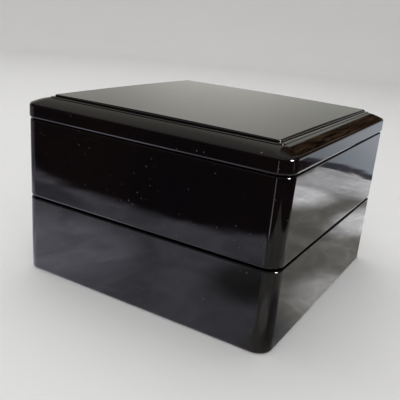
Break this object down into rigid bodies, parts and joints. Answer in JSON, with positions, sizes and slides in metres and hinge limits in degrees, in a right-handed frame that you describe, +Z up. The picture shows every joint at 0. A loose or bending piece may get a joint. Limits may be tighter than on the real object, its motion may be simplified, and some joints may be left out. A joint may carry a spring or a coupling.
{
  "type": "stacking lacquered food box",
  "caption": "Square stacking food box of lacquered wood: tiers with rounded corners and standing lips, removable cross dividers, and a flush lid with a raised panel.",
  "frame": {"origin": "centre of the face the box stands on", "axes": "+Z up through the lid, +X to the right-hand side, -Y to the front; the plan is square"},
  "size_m": [0.1956, 0.1956, 0.1275],
  "materials": {
    "black_lacquer": "polished black lacquer",
    "vermilion_lacquer": "satin vermilion lacquer",
    "bare_wood": "bare planed wood"
  },
  "bodies": {
    "lower_tier": {"lower_tier_wall_front": "black_lacquer", "lower_tier_wall_right": "black_lacquer", "lower_tier_wall_back": "black_lacquer", "lower_tier_wall_left": "black_lacquer", "lower_tier_lip_front": "black_lacquer", "lower_tier_lip_right": "black_lacquer", "lower_tier_lip_back": "black_lacquer", "lower_tier_lip_left": "black_lacquer", "lower_tier_bottom_board": "vermilion_lacquer", "lower_tier_corner_splines": "bare_wood"},
    "upper_tier": {"upper_tier_wall_front": "black_lacquer", "upper_tier_wall_right": "black_lacquer", "upper_tier_wall_back": "black_lacquer", "upper_tier_wall_left": "black_lacquer", "upper_tier_lip_front": "black_lacquer", "upper_tier_lip_right": "black_lacquer", "upper_tier_lip_back": "black_lacquer", "upper_tier_lip_left": "black_lacquer", "upper_tier_bottom_board": "vermilion_lacquer", "upper_tier_corner_splines": "bare_wood"},
    "lid": {"lid_rail_front": "black_lacquer", "lid_rail_right": "black_lacquer", "lid_rail_back": "black_lacquer", "lid_rail_left": "black_lacquer", "lid_panel": "black_lacquer", "lid_corner_splines": "bare_wood"},
    "lower_divider_long": {"lower_tier_divider_long": "black_lacquer"},
    "lower_divider_cross": {"lower_tier_divider_cross": "black_lacquer"},
    "upper_divider_long": {"upper_tier_divider_long": "black_lacquer"},
    "upper_divider_cross": {"upper_tier_divider_cross": "black_lacquer"}
  },
  "joints": [
    {"name": "upper_tier_lift", "type": "slide", "parent": "lower_tier", "child": "upper_tier", "axis": [0, 0, 1], "range_m": [0, 0.15]},
    {"name": "lid_lift", "type": "slide", "parent": "upper_tier", "child": "lid", "axis": [0, 0, 1], "range_m": [0, 0.15]},
    {"name": "lower_divider_lift", "type": "slide", "parent": "lower_tier", "child": "lower_divider_long", "axis": [0, 0, 1], "range_m": [0, 0.06]},
    {"name": "lower_divider_part", "type": "slide", "parent": "lower_divider_long", "child": "lower_divider_cross", "axis": [0, 0, 1], "range_m": [0, 0.045]},
    {"name": "upper_divider_lift", "type": "slide", "parent": "upper_tier", "child": "upper_divider_long", "axis": [0, 0, 1], "range_m": [0, 0.06]},
    {"name": "upper_divider_part", "type": "slide", "parent": "upper_divider_long", "child": "upper_divider_cross", "axis": [0, 0, 1], "range_m": [0, 0.045]}
  ],
  "couplings": [
    {"joint": "lower_divider_lift", "follows": "upper_tier_lift", "ratio": 0.4},
    {"joint": "lower_divider_part", "follows": "upper_tier_lift", "ratio": 0.3},
    {"joint": "upper_divider_lift", "follows": "lid_lift", "ratio": 0.4},
    {"joint": "upper_divider_part", "follows": "lid_lift", "ratio": 0.3}
  ]
}
